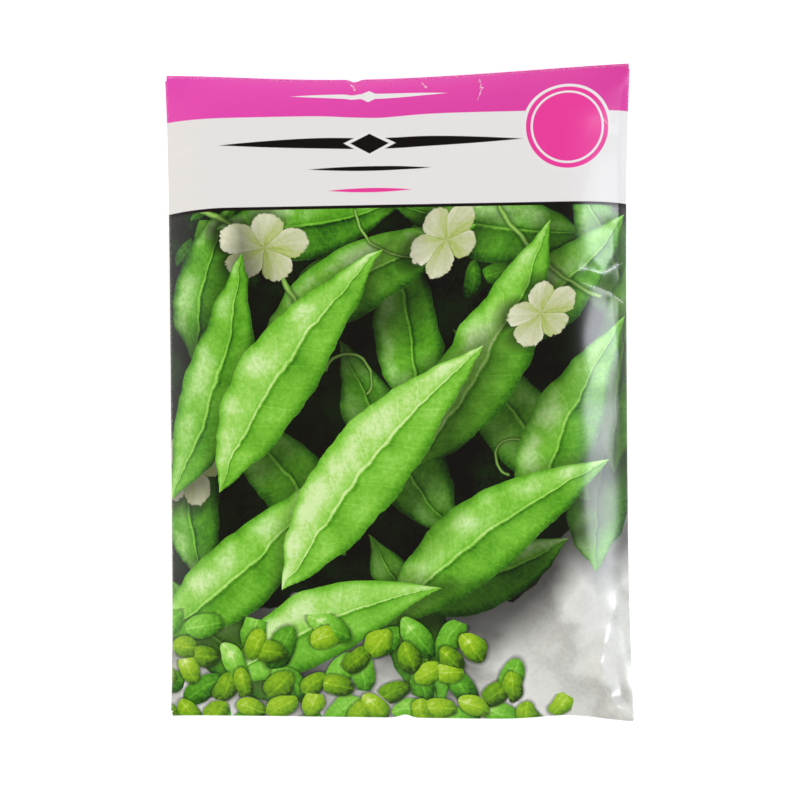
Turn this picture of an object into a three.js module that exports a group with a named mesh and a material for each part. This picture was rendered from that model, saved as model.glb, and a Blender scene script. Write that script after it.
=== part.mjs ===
// Seed packet: one sheet of coated paper, folded round a single layer of dried pea seeds and glued shut.
// It lies on its back. +Z points up, out of the printed front, +Y points to the top fold and +X to the
// reader's right. The origin is the middle of the packet's footprint, on the surface that it lies on.
// All measures are millimetres.
import * as THREE from "three";

// The packet, fold to fold, while its paper was still flat.
const WIDTH = 82.55;
const HEIGHT = 114.3;
const PAPER = 0.12;
const GLUE_SPACE = 0.12; // between two glued layers
const GLUE = 0.08; // thickness of a dried glue strip
const CREASE_SPACE = 0.12; // between the two faces of the paper where a fold closes

// The filled form. The seeds hold the front and the back apart, and the paper slopes to its folds.
const FILLING = 7.5; // between front and back, over the seeds
const SIDE_SLOPE = 12; // length of the slope to each side crease
const TOP_SLOPE = 10;
const BOTTOM_SLOPE = 24;
const EDGE_SAG = 0.5; // how far the folds hang below half height
const CORNER_LIFT = 0.9; // how far the four corners curl up
const CORNER_CUT = 1.1; // the blank's notch at each corner, where the folds cross

// How far the filling draws each fold in, at its deepest point.
const LEFT_PULL = 0.3;
const RIGHT_PULL = 0.95;
const TOP_PULL = 1.5;
const TOP_PULL_AT = -5; // X of the deepest point
const BOTTOM_PULL = 0.8;
const BOTTOM_PULL_AT = 30;
const BOTTOM_PULL_REACH = 7;

// The flaps behind: the side flaps meet in a seam, and the end flaps close over them.
const SEAM_OVERLAP = 12;
const SEAM_GLUE_WIDTH = 8;
const SEAM_GLUE_SETBACK = 5; // from the two end folds
const BOTTOM_FLAP = 15;
const TOP_FLAP = 19;
const FLAP_TAPER = 4; // by which each end flap narrows, a side, towards its free edge
const FLAP_GLUE_WIDTH = 7;
const FLAP_GLUE_MARGIN = 2.5; // from the flap's free edge
const FLAP_GLUE_END = 9; // from each side crease

// The seeds, dried and slightly wrinkled, lie in one layer.
const SEED_COLUMNS = 7;
const SEED_ROWS = 8;
const SEED_PITCH_X = 10.4;
const SEED_PITCH_Y = 10.9;
const SEED_CENTRE_Y = 6.5; // of the whole layer, which has slid towards the top
const SEED_STRAY = 0.7; // from the even rows and columns
const SEED_LENGTH = 8.2;
const SEED_BREADTH = 7.8;
const SEED_THICKNESS = 7.1;
const SEED_WRINKLE = 0.03; // of the radius
const SEED_CLEARANCE = 0.06; // above the paper

const HALF_W = WIDTH / 2;
const HALF_H = HEIGHT / 2;
const LAYER = PAPER + GLUE_SPACE; // from one layer to the next
const RIGHT_LAYER = 0; // counted outwards: the right flap lies inside the left one, under the end flaps
const LEFT_LAYER = 1;
const END_LAYER = 2;
const HALF_FILLING = FILLING / 2;
const INSIDE = CREASE_SPACE / 2; // from the core surface to the paper's inner face
const MID_HEIGHT = HALF_FILLING + INSIDE + PAPER + END_LAYER * LAYER;
const FOLD_STRIP = 0.9; // of the blank, taken up by a fold
const FOLD_FACETS = 4;
const UP = new THREE.Vector3(0, 0, 1);

// ---- the filled form: a core surface, front and back, over the flat packet's u (across) and v (up) ----

// Rises from 0 at a fold to 1 where the slope ends.
function rise(distance, slope) {
  const left = Math.max(0, 1 - distance / slope);
  return 1 - left * left;
}

function fullness(u, v) {
  const ends = v > 0 ? rise(HALF_H - v, TOP_SLOPE) : rise(HALF_H + v, BOTTOM_SLOPE);
  return rise(HALF_W - Math.abs(u), SIDE_SLOPE) * ends;
}

// 1 at the fold, falling to 0 where the slope ends.
function nearFold(distance, slope) {
  const left = Math.max(0, 1 - distance / slope);
  return left * left;
}

// How far a fold's outside stands past the core's edge.
function bulge(layer) {
  return INSIDE + PAPER + (layer * LAYER) / 2;
}

function across(u, v) {
  const waist = 1 - Math.abs(v / HALF_H) ** 3.5;
  const pull = u < 0 ? bulge(LEFT_LAYER) + LEFT_PULL * waist : bulge(RIGHT_LAYER) + RIGHT_PULL * waist;
  return u - Math.sign(u) * pull * nearFold(HALF_W - Math.abs(u), SIDE_SLOPE);
}

function along(u, v) {
  if (v > 0) {
    const reach = u < TOP_PULL_AT ? HALF_W + TOP_PULL_AT : HALF_W - TOP_PULL_AT;
    const bow = Math.cos((Math.PI / 2) * Math.min(1, Math.abs(u - TOP_PULL_AT) / reach)) ** 1.5;
    return v - (bulge(END_LAYER) + TOP_PULL * bow) * nearFold(HALF_H - v, TOP_SLOPE);
  }
  const bow = Math.exp(-(((u - BOTTOM_PULL_AT) / BOTTOM_PULL_REACH) ** 2));
  return v + (bulge(END_LAYER) + BOTTOM_PULL * bow) * nearFold(HALF_H + v, BOTTOM_SLOPE / 2);
}

// side is 1 for the front and -1 for the back.
function core(u, v, side) {
  const full = fullness(u, v);
  const corner = (Math.abs(u) / HALF_W) ** 8 * (Math.abs(v) / HALF_H) ** 8;
  const middle = MID_HEIGHT - EDGE_SAG * (1 - full) + CORNER_LIFT * corner;
  return new THREE.Vector3(across(u, v), along(u, v), middle + side * HALF_FILLING * full);
}

// Points away from the filling, found from the core surface a little way to each side.
function outward(u, v, side) {
  const step = 0.05;
  const inU = THREE.MathUtils.clamp(u, step - HALF_W, HALF_W - step);
  const inV = THREE.MathUtils.clamp(v, step - HALF_H, HALF_H - step);
  const du = core(inU + step, inV, side).sub(core(inU - step, inV, side));
  const dv = core(inU, inV + step, side).sub(core(inU, inV - step, side));
  return du.cross(dv).multiplyScalar(side).normalize();
}

// ---- the sheet: the blank's x and y, measured over the flat paper from the middle of the front ----

// A point of the blank lies on a core point, out along a direction, at a distance set by its layer.
function laid(u, v, side, layer) {
  return { core: core(u, v, side), out: outward(u, v, side), distance: INSIDE + PAPER / 2 + layer * LAYER };
}

// A fold carries the paper from the front round to a layer behind, turning about the core's edge.
function folded(u, v, away, turn, layer) {
  const angle = (side) => {
    const out = outward(u, v, side);
    return Math.atan2(out.z, out.dot(away));
  };
  const now = THREE.MathUtils.lerp(angle(1), angle(-1), turn);
  const out = away.clone().multiplyScalar(Math.cos(now)).addScaledVector(UP, Math.sin(now));
  return { core: core(u, v, 1), out, distance: INSIDE + PAPER / 2 + turn * layer * LAYER };
}

function place(x, y) {
  const pastSide = Math.abs(x) - HALF_W;
  const pastEnd = Math.abs(y) - HALF_H;
  if (pastSide > 0) {
    const hand = Math.sign(x);
    const away = new THREE.Vector3(hand, 0, 0);
    const layer = hand > 0 ? RIGHT_LAYER : LEFT_LAYER;
    if (pastSide < FOLD_STRIP) return folded(hand * HALF_W, y, away, pastSide / FOLD_STRIP, layer);
    return laid(hand * (HALF_W - pastSide + FOLD_STRIP), y, -1, layer);
  }
  if (pastEnd > 0) {
    const end = Math.sign(y);
    const away = new THREE.Vector3(0, end, 0);
    if (pastEnd < FOLD_STRIP) return folded(x, end * HALF_H, away, pastEnd / FOLD_STRIP, END_LAYER);
    const depth = pastEnd - FOLD_STRIP;
    const length = end > 0 ? TOP_FLAP : BOTTOM_FLAP;
    const edge = HALF_W - CORNER_CUT;
    const room = edge - (FLAP_TAPER * depth) / length;
    return laid(Math.abs(x) > room ? Math.sign(x) * room : x, end * (HALF_H - depth), -1, END_LAYER);
  }
  const rounded = pastSide === 0 && pastEnd === 0 ? CORNER_CUT * 0.35 : 0;
  return laid(x - Math.sign(x) * rounded, y - Math.sign(y) * rounded, 1, 0);
}

// Makes one closed body from a set of cells, each with four corners on the flat blank. The outer face
// and the inner face lie half a thickness to each side, and a rim joins them round the free edges.
function sheetGeometry(cells, placeOf, thickness) {
  const numbers = new Map();
  const outer = [];
  const inner = [];
  const number = ([x, y]) => {
    const key = `${x.toFixed(3)} ${y.toFixed(3)}`;
    if (!numbers.has(key)) {
      const { core: at, out, distance } = placeOf(x, y);
      numbers.set(key, outer.length);
      outer.push(at.clone().addScaledVector(out, distance + thickness / 2));
      inner.push(at.clone().addScaledVector(out, distance - thickness / 2));
    }
    return numbers.get(key);
  };
  const triangles = [];
  const edges = new Map();
  for (const { corners, mirrored } of cells) {
    const [a, b, c, d] = corners.map(number);
    const halves = mirrored ? [[a, b, d], [b, c, d]] : [[a, b, c], [a, c, d]];
    for (const half of halves) {
      triangles.push(half);
      for (let i = 0; i < 3; i++) {
        const [from, to] = [half[i], half[(i + 1) % 3]];
        if (!edges.delete(`${to} ${from}`)) edges.set(`${from} ${to}`, [from, to]);
      }
    }
  }
  const count = outer.length;
  const index = triangles.flatMap(([a, b, c]) => [a, b, c, a + count, c + count, b + count]);
  for (const [from, to] of edges.values()) {
    index.push(to, from, from + count, to, from + count, to + count);
  }
  const geometry = new THREE.BufferGeometry();
  const points = [...outer, ...inner].flatMap((p) => [p.x, p.y, p.z]);
  geometry.setAttribute("position", new THREE.Float32BufferAttribute(points, 3));
  geometry.setIndex(index);
  geometry.computeVertexNormals();
  return geometry;
}

// The cells between two sets of grid lines. A flap behind is a mirrored copy of the front's grid, so
// its cells are split the other way, and the facets of all the layers lie parallel.
function gridCells(xs, ys, mirrored) {
  const cells = [];
  for (let i = 0; i + 1 < xs.length; i++) {
    for (let j = 0; j + 1 < ys.length; j++) {
      const corners = [[xs[i], ys[j]], [xs[i + 1], ys[j]], [xs[i + 1], ys[j + 1]], [xs[i], ys[j + 1]]];
      cells.push({ corners, mirrored });
    }
  }
  return cells;
}

// Grid lines gather towards a fold, where the form bends most.
function slopeLines(edge, slope, count) {
  const lines = [];
  for (let i = 0; i <= count; i++) lines.push(edge - Math.sign(edge) * slope * (i / count) ** 1.4);
  return lines;
}

function evenLines(from, to, count) {
  return Array.from({ length: count + 1 }, (_, i) => from + ((to - from) * i) / count);
}

// In order, with lines that all but touch merged into the one that was named first.
function sorted(...groups) {
  const kept = [];
  for (const line of groups.flat()) {
    if (kept.every((other) => Math.abs(other - line) > 0.5)) kept.push(line);
  }
  return kept.sort((a, b) => a - b);
}

const EDGE_U = HALF_W - CORNER_CUT;
const EDGE_V = HALF_H - CORNER_CUT;
const SEAM = SEAM_OVERLAP / 2;
const acrossLines = sorted(
  [-HALF_W, -EDGE_U, EDGE_U, HALF_W, -SEAM, SEAM, -SEAM_GLUE_WIDTH / 2, SEAM_GLUE_WIDTH / 2],
  [FLAP_GLUE_END - HALF_W, HALF_W - FLAP_GLUE_END],
  slopeLines(-HALF_W, SIDE_SLOPE, 5),
  slopeLines(HALF_W, SIDE_SLOPE, 5),
  evenLines(SIDE_SLOPE - HALF_W, -SEAM, 3),
  evenLines(SEAM, HALF_W - SIDE_SLOPE, 3),
);
const bottomGlue = [BOTTOM_FLAP - FLAP_GLUE_MARGIN - FLAP_GLUE_WIDTH, BOTTOM_FLAP - FLAP_GLUE_MARGIN];
const topGlue = [TOP_FLAP - FLAP_GLUE_MARGIN - FLAP_GLUE_WIDTH, TOP_FLAP - FLAP_GLUE_MARGIN];
const alongLines = sorted(
  [-HALF_H, -EDGE_V, EDGE_V, HALF_H, BOTTOM_FLAP - HALF_H, HALF_H - TOP_FLAP],
  bottomGlue.map((depth) => depth - HALF_H),
  topGlue.map((depth) => HALF_H - depth),
  [SEAM_GLUE_SETBACK - HALF_H, HALF_H - SEAM_GLUE_SETBACK],
  slopeLines(-HALF_H, BOTTOM_SLOPE, 6),
  slopeLines(HALF_H, TOP_SLOPE, 5),
  evenLines(BOTTOM_SLOPE - HALF_H, HALF_H - TOP_FLAP, 4),
);

const between = (lines, low, high) => lines.filter((line) => line > low - 0.01 && line < high + 0.01);
// The part of the blank past a fold: the fold's own facets, then the lines that the flap lies under.
const foldLines = evenLines(0, FOLD_STRIP, FOLD_FACETS);

function pastFold(edge, under) {
  const sign = Math.sign(edge);
  const flap = under.map((line) => edge + sign * (FOLD_STRIP + Math.abs(edge - line)));
  const all = [...foldLines.map((step) => edge + sign * step), ...flap];
  return [...new Set(all.map((line) => Number(line.toFixed(6))))].sort((a, b) => a - b);
}

function envelopeGeometry() {
  const rightUnder = between(acrossLines, -SEAM, HALF_W);
  const leftUnder = between(acrossLines, -HALF_W, SEAM);
  const bottomUnder = between(alongLines, -HALF_H, BOTTOM_FLAP - HALF_H);
  const topUnder = between(alongLines, HALF_H - TOP_FLAP, HALF_H);
  const beside = between(alongLines, -EDGE_V, EDGE_V);
  const above = between(acrossLines, -EDGE_U, EDGE_U);
  return sheetGeometry(
    [
      ...gridCells(acrossLines, alongLines, false),
      ...gridCells(pastFold(HALF_W, rightUnder), beside, true),
      ...gridCells(pastFold(-HALF_W, leftUnder), beside, true),
      ...gridCells(above, pastFold(HALF_H, topUnder), true),
      ...gridCells(above, pastFold(-HALF_H, bottomUnder), true),
    ],
    place,
    PAPER,
  );
}

// A glue strip lies between two layers behind, so its cells are the back's own, taken from inside.
function glueGeometry(uRange, vRange, layer) {
  const us = between(acrossLines, ...uRange);
  const vs = between(alongLines, ...vRange);
  const distance = INSIDE + PAPER + GLUE_SPACE / 2 + layer * LAYER;
  const placeOf = (x, v) => ({ core: core(-x, v, -1), out: outward(-x, v, -1), distance });
  const mirroredUs = us.map((u) => -u).sort((a, b) => a - b);
  return sheetGeometry(gridCells(mirroredUs, vs, true), placeOf, GLUE);
}

// ---- the seeds ----

// A repeatable number between -1 and 1 for a seed and a purpose.
function stray(number, purpose) {
  const wave = Math.sin(number * 12.9898 + purpose * 78.233) * 43758.5453;
  return 2 * (wave - Math.floor(wave)) - 1;
}

// An egg of three diameters with low wrinkles that run round it.
function seedGeometry(number) {
  const geometry = new THREE.IcosahedronGeometry(1, 1);
  const at = geometry.attributes.position;
  const point = new THREE.Vector3();
  const phase = stray(number, 5) * Math.PI;
  for (let i = 0; i < at.count; i++) {
    point.fromBufferAttribute(at, i).normalize();
    const fold = Math.sin(3.1 * point.x + phase) * Math.cos(2.7 * point.y - phase);
    const radius = 1 - SEED_WRINKLE * (1 + fold);
    at.setXYZ(
      i,
      (point.x * radius * SEED_LENGTH) / 2,
      (point.y * radius * SEED_BREADTH) / 2,
      (point.z * radius * SEED_THICKNESS) / 2,
    );
  }
  return geometry;
}

function seedPosition(column, row, number) {
  const u = (column - (SEED_COLUMNS - 1) / 2) * SEED_PITCH_X + SEED_STRAY * stray(number, 1);
  const v = SEED_CENTRE_Y + (row - (SEED_ROWS - 1) / 2) * SEED_PITCH_Y + SEED_STRAY * stray(number, 2);
  const floor = core(u, v, -1).z + INSIDE;
  return new THREE.Vector3(u, v, floor + SEED_CLEARANCE + SEED_THICKNESS / 2);
}

// ---- materials and the finished packet ----

const printedPaper = new THREE.MeshStandardMaterial({ color: 0x6f9e45, roughness: 0.32, metalness: 0 });
const driedGlue = new THREE.MeshStandardMaterial({ color: 0xd8cfae, roughness: 0.45, metalness: 0 });
const driedPea = new THREE.MeshStandardMaterial({ color: 0xa9a568, roughness: 0.7, metalness: 0 });

const packet = new THREE.Group();

function add(name, geometry, material, position = new THREE.Vector3(), turn = 0) {
  const mesh = new THREE.Mesh(geometry, material);
  mesh.name = name;
  mesh.position.copy(position);
  mesh.rotation.z = turn;
  packet.add(mesh);
}

add("paper_envelope", envelopeGeometry(), printedPaper);

const seamReach = HALF_H - SEAM_GLUE_SETBACK;
const seamGlue = glueGeometry([-SEAM_GLUE_WIDTH / 2, SEAM_GLUE_WIDTH / 2], [-seamReach, seamReach], 0);
add("back_seam_glue", seamGlue, driedGlue);

const glueEnds = [FLAP_GLUE_END - HALF_W, HALF_W - FLAP_GLUE_END];
const bottomBand = bottomGlue.map((depth) => depth - HALF_H);
const topBand = topGlue.map((depth) => HALF_H - depth).reverse();
add("bottom_flap_glue", glueGeometry(glueEnds, bottomBand, 1), driedGlue);
add("top_flap_glue", glueGeometry(glueEnds, topBand, 1), driedGlue);

let seedNumber = 0;
for (let row = 0; row < SEED_ROWS; row++) {
  for (let column = 0; column < SEED_COLUMNS; column++) {
    seedNumber += 1;
    const name = `pea_seed_${String(seedNumber).padStart(2, "0")}`;
    const turn = Math.PI * stray(seedNumber, 3);
    add(name, seedGeometry(seedNumber), driedPea, seedPosition(column, row, seedNumber), turn);
  }
}

export default packet;
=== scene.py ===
"""Dresses a sealed paper seed packet: its printed sheet, the glue in its seams and the peas inside.

The packet lies on its back, its printed front up and its top fold towards +Y. The sheet is worked out
over its flat blank: x and y run over the unfolded paper, in millimetres, from the middle of the front.
Past a fold line the paper turns to the back, so the same x and y place the print on every flap.
"""

import math

import bpy
import numpy as np
from mathutils import Matrix, Vector


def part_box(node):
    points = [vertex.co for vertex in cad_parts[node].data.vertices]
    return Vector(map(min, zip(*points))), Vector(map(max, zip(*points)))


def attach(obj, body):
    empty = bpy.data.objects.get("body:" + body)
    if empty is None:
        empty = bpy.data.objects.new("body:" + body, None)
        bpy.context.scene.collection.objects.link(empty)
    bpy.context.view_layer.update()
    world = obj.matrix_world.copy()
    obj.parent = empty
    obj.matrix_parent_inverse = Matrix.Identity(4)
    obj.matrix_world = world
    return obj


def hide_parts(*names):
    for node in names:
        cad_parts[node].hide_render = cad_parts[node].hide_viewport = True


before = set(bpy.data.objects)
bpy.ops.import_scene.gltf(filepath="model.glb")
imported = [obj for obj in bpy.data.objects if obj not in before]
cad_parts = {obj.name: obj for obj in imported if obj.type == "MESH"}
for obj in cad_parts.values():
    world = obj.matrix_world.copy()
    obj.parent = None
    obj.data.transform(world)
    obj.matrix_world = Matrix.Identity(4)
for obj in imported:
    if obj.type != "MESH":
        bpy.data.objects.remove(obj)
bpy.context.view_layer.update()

MM = 0.001

# ---- the packet's measures, in millimetres ----

WIDTH, HEIGHT = 82.55, 114.3  # fold to fold, while the paper was flat
HALF_W, HALF_H = WIDTH / 2, HEIGHT / 2
PAPER, GLUE_SPACE = 0.12, 0.12  # thickness of the sheet, and the gap between two glued layers
CREASE_SPACE = 0.12  # between the two faces of the paper where a fold closes
INSIDE = CREASE_SPACE / 2  # from the core surface to the paper's inner face

# The flaps behind, counted outwards in layers: right, left, then the two end flaps.
SEAM_OVERLAP, BOTTOM_FLAP, TOP_FLAP = 12.0, 15.0, 19.0
FLAP_TAPER = 4.0  # by which an end flap narrows, a side, towards its free edge
LAYER = PAPER + GLUE_SPACE
RIGHT_LAYER, LEFT_LAYER, END_LAYER = 0, 1, 2
FOLD_STRIP, FOLD_STEPS = 0.9, 7  # width of the blank that a fold takes up, and its facets
END_CUT, SIDE_CUT = 0.05, 0.5  # how far short of a corner the end folds and the side folds stop
CORNER_POINT = 0.2  # how far a corner's own point stands out past the fold lines
EDGE_U, EDGE_V, SEAM = HALF_W - END_CUT, HALF_H - SIDE_CUT, SEAM_OVERLAP / 2

# The filled form: the seeds hold front and back apart, and the paper slopes to its folds.
FILLING = 7.5
HALF_FILLING = FILLING / 2
MID_HEIGHT = HALF_FILLING + INSIDE + PAPER + END_LAYER * LAYER
SIDE_SLOPE, TOP_SLOPE, BOTTOM_SLOPE = 12.0, 10.0, 24.0
EDGE_SAG = 0.5  # how far the folds hang below half height
CORNER_LIFT, CORNER_POWER = 0.9, 8  # how far the corners curl up, and how closely the curl keeps to them
EAR_LIFT, EAR_REACH = 0.5, 4.5  # what the bottom right corner curls up more than the others

# How far the filling draws the folds in: the sides most at the waist, the top in a bow.
LEFT_PULL, RIGHT_PULL, WAIST_POWER = 0.3, 0.95, 3.5
TOP_PULL, TOP_PULL_AT, BOW_POWER = 1.5, -5.0, 1.5
# Dents in the line of an end fold: where along it, its reach to each side, and its depth.
BOTTOM_DENT, BOTTOM_NICK, TOP_NICK = (30.0, 7.0, 0.8), (0.9, 1.3, 0.6), (-7.2, 0.8, 0.55)
# How far the swell drags the header's foot down: beside each side crease, and in one patch above it.
LEFT_DRAG, LEFT_DRAG_SLOPE = 0.8, 13.0
RIGHT_DRAG, RIGHT_DRAG_SLOPE = 0.35, 8.0
DRAG_AT, DRAG_REACH = 34.0, 13.0
PATCH_DRAG, PATCH_AT, PATCH_REACH = 0.6, (-3.0, 48.5), (7.0, 5.0)

# Long waves in the paper: radians a millimetre across and along, phase, and share of the whole.
LONG_WAVES = [
    (0.16, 0.07, 0.4, 1.0),
    (-0.09, 0.13, 2.1, 1.0),
    (0.23, -0.19, 4.0, 0.7),
    (0.31, 0.27, 5.3, 0.5),
]
FRONT_WAVE, BACK_WAVE, WAVE_SLOPE = 0.12, 0.10, 9.0  # half heights, and the slope over which they come in
CREASE_FADE = 0.9  # distance from a fold over which waves and creases come in
# A ripple that runs up beside the right crease.
RIPPLE, RIPPLE_AT, RIPPLE_REACH = 0.12, 36.5, 3.2
# The narrow facet inside the right crease.
SHOULDER, SHOULDER_WIDTH, SHOULDER_FADE, SHOULDER_ENDS = 0.50, 1.25, 3.5, 16.0
SHOULDER_LOW, SHOULDER_STEP_AT, SHOULDER_STEP = 0.25, 4.0, 4.0  # its share below, and where it steps down

# Creases and puckers of the front: where each starts and ends, its width, and how far it stands out.
FRONT_CREASES = [
    ((-7.2, 57.0), (-9.0, 47.0), 5.0, -0.34),
    ((-7.2, 57.0), (-3.0, 50.0), 3.0, 0.16),
    ((4.9, 57.0), (6.0, 53.6), 2.0, -0.14),
    ((14.9, 57.0), (15.4, 50.8), 2.5, -0.18),
    ((24.0, 57.0), (21.0, 51.0), 4.0, -0.16),
    ((-1.9, 48.7), (4.4, 38.5), 4.0, -0.26),
    ((4.4, 38.5), (5.4, 33.0), 4.0, -0.34),
    ((-30.5, 42.5), (-28.0, 33.2), 4.0, -0.28),
    ((-25.0, 39.0), (-26.0, 33.2), 3.0, 0.18),
    ((-41.0, 43.2), (-35.0, 43.8), 1.6, 0.12),
    ((38.0, 53.2), (41.0, 54.2), 3.0, 0.22),
    ((37.4, 45.3), (41.0, 48.5), 1.6, 0.14),
    ((37.4, 45.3), (40.9, 44.6), 1.4, -0.12),
    ((33.8, 21.5), (36.9, 20.8), 3.6, -0.26),
    ((36.9, 20.8), (40.6, 23.0), 3.0, -0.20),
    ((35.4, 23.2), (36.9, 20.8), 1.4, 0.09),
    ((36.9, 20.8), (38.4, 23.4), 1.4, 0.09),
    ((32.4, 19.4), (38.2, 17.4), 3.4, 0.14),
    ((38.2, 17.4), (40.8, 15.6), 3.0, 0.20),
    ((38.4, 28.5), (38.6, 24.6), 3.0, 0.22),
    ((38.2, 17.4), (39.2, 8.0), 1.4, 0.10),
    ((38.6, -37.1), (36.6, -43.2), 3.4, 0.34),
    ((36.6, -43.2), (35.7, -47.1), 3.4, 0.50),
    ((35.7, -47.1), (36.0, -50.2), 3.4, 0.60),
    ((36.0, -50.2), (38.0, -55.0), 3.2, 0.66),
    ((38.0, -55.0), (41.0, -57.0), 2.8, 0.56),
    ((38.6, -47.6), (39.4, -53.0), 2.2, -0.26),
    ((32.0, -50.0), (36.8, -56.8), 3.6, -0.22),
    ((0.9, -57.0), (2.2, -50.5), 3.4, -0.22),
    ((-40.5, -52.0), (-35.5, -56.6), 3.0, 0.24),
    ((24.0, -57.0), (27.0, -50.0), 5.0, 0.14),
    ((17.0, -3.5), (19.5, -11.5), 1.2, 0.05),
]

# ---- the filled form ----


def near_fold(distance, slope):
    """1 at the fold, falling as a parabola to 0 where the slope ends."""
    return np.maximum(0, 1 - distance / slope) ** 2


def rise(distance, slope):
    """Parabola from 0 at a fold to 1 where the slope ends, and 1 beyond it."""
    return 1 - near_fold(distance, slope)


def dent(t, at, reach, depth):
    """Gaussian of one measure, as high as depth at its middle."""
    return depth * np.exp(-(((t - at) / reach) ** 2))


def bell(u, v, centre, reach):
    """Gaussian bump of height 1 at centre, with its own reach across and along."""
    return np.exp(-(((u - centre[0]) / reach[0]) ** 2) - ((v - centre[1]) / reach[1]) ** 2)


def ridge(u, v, start, end, width):
    """A crisp crease along the line from start to end, falling to 0 as a square over its width."""
    du, dv = end[0] - start[0], end[1] - start[1]
    part = np.clip(((u - start[0]) * du + (v - start[1]) * dv) / (du * du + dv * dv), 0, 1)
    away = np.hypot(u - start[0] - part * du, v - start[1] - part * dv)
    return np.maximum(0, 1 - away / width) ** 2


def fullness(u, v):
    """Product of the rise from the nearer side crease and the rise from the nearer end fold."""
    ends = np.where(v > 0, rise(HALF_H - v, TOP_SLOPE), rise(HALF_H + v, BOTTOM_SLOPE))
    return rise(HALF_W - np.abs(u), SIDE_SLOPE) * ends


def bulge(layer):
    """How far a fold's outside stands past the core's edge, for the layer that the paper folds to."""
    return INSIDE + PAPER + layer * LAYER / 2


def across(u, v):
    """u, drawn in at the side creases by the filling, most at the waist."""
    waist = 1 - np.abs(v / HALF_H) ** WAIST_POWER
    left, right = bulge(LEFT_LAYER) + LEFT_PULL * waist, bulge(RIGHT_LAYER) + RIGHT_PULL * waist
    return u - np.sign(u) * np.where(u < 0, left, right) * near_fold(HALF_W - np.abs(u), SIDE_SLOPE)


def drag(u, v):
    """How far down the front is dragged: parabolas beside the side creases, and a bell in the header."""
    beside = LEFT_DRAG * near_fold(HALF_W + u, LEFT_DRAG_SLOPE)
    beside = beside + RIGHT_DRAG * near_fold(HALF_W - u, RIGHT_DRAG_SLOPE)
    return beside * dent(v, DRAG_AT, DRAG_REACH, 1) + PATCH_DRAG * bell(u, v, PATCH_AT, PATCH_REACH)


def along(u, v):
    """v, dragged down, and drawn in at the end folds: a power of a cosine at the top, and the dents."""
    reach = np.where(u < TOP_PULL_AT, HALF_W + TOP_PULL_AT, HALF_W - TOP_PULL_AT)
    share = np.minimum(1, np.abs(u - TOP_PULL_AT) / reach)
    bow = np.cos(np.pi / 2 * share) ** BOW_POWER
    top = bulge(END_LAYER) + TOP_PULL * bow + dent(u, *TOP_NICK)
    low = bulge(END_LAYER) + dent(u, *BOTTOM_DENT) + dent(u, *BOTTOM_NICK)
    v = v - drag(u, v)
    at_top = v - top * near_fold(HALF_H - v, TOP_SLOPE)
    at_foot = v + low * near_fold(HALF_H + v, BOTTOM_SLOPE / 2)
    return np.where(v > 0, at_top, at_foot)


def undulation(u, v):
    """Sum of the long sine waves, between -1 and 1."""
    waves = sum(share * np.sin(a * u + b * v + phase) for a, b, phase, share in LONG_WAVES)
    return waves / sum(share for _, _, _, share in LONG_WAVES)


def inset(u, v):
    """Distance inwards from the nearest fold line."""
    return np.minimum(HALF_W - np.abs(u), HALF_H - np.abs(v))


def front_detail(u, v):
    """Soft waves, a swaying sine beside the right crease and the creases, all coming in from the folds."""
    edge = inset(u, v)
    sway = np.sin(0.38 * v + 1.2 * np.sin(0.13 * v))
    height = sway * dent(u, RIPPLE_AT, RIPPLE_REACH, RIPPLE)
    height = height - FRONT_WAVE * (1 + undulation(u, v)) * rise(edge, WAVE_SLOPE)
    for start, end, width, depth in FRONT_CREASES:
        height = height + depth * ridge(u, v, start, end, width)
    return height * (1 - np.exp(-np.maximum(edge, 0) / CREASE_FADE))


def shoulder(u, v):
    """The right side's own narrow facet: steep for its width, then an exponential fade inwards.

    Two slow sines vary its height, and a logistic curve lowers it in the packet's lower half."""
    top = SHOULDER + 0.10 * np.sin(0.16 * v + 1.0) + 0.05 * np.sin(0.51 * v)
    step = 1 / (1 + np.exp(-(v - SHOULDER_STEP_AT) / SHOULDER_STEP))
    edge = HALF_W - u
    inwards = np.minimum(edge / SHOULDER_WIDTH, np.exp(-(edge - SHOULDER_WIDTH) / SHOULDER_FADE))
    ends = rise(np.maximum(HALF_H - np.abs(v), 0), SHOULDER_ENDS)
    return top * (SHOULDER_LOW + (1 - SHOULDER_LOW) * step) * ends * inwards


def core(u, v, side):
    """The filled form under the paper: u and v drawn in, and a height of middle plus or minus the filling.

    side is 1 for the front and -1 for the back."""
    full = fullness(u, v)
    corner = np.abs(u / HALF_W) ** CORNER_POWER * np.abs(v / HALF_H) ** CORNER_POWER
    ear = EAR_LIFT * bell(u, v, (HALF_W, -HALF_H), (EAR_REACH, EAR_REACH))
    middle = MID_HEIGHT - EDGE_SAG * (1 - full) + CORNER_LIFT * corner + ear
    front = front_detail(u, v) + shoulder(u, v)
    back = BACK_WAVE * (1 + undulation(v, u)) * rise(inset(u, v), WAVE_SLOPE) * (1 - full)
    height = middle + side * HALF_FILLING * full + np.where(side > 0, front, back)
    return np.stack([across(u, v), along(u, v), height], axis=-1)


def outward(u, v, side):
    """Unit normal of the core surface, from its differences a little way to each side."""
    step = 0.04
    in_u, in_v = np.clip(u, step - HALF_W, HALF_W - step), np.clip(v, step - HALF_H, HALF_H - step)
    du = core(in_u + step, in_v, side) - core(in_u - step, in_v, side)
    dv = core(in_u, in_v + step, side) - core(in_u, in_v - step, side)
    normal = np.cross(du, dv) * side[..., None]
    return normal / np.linalg.norm(normal, axis=-1, keepdims=True)


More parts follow.
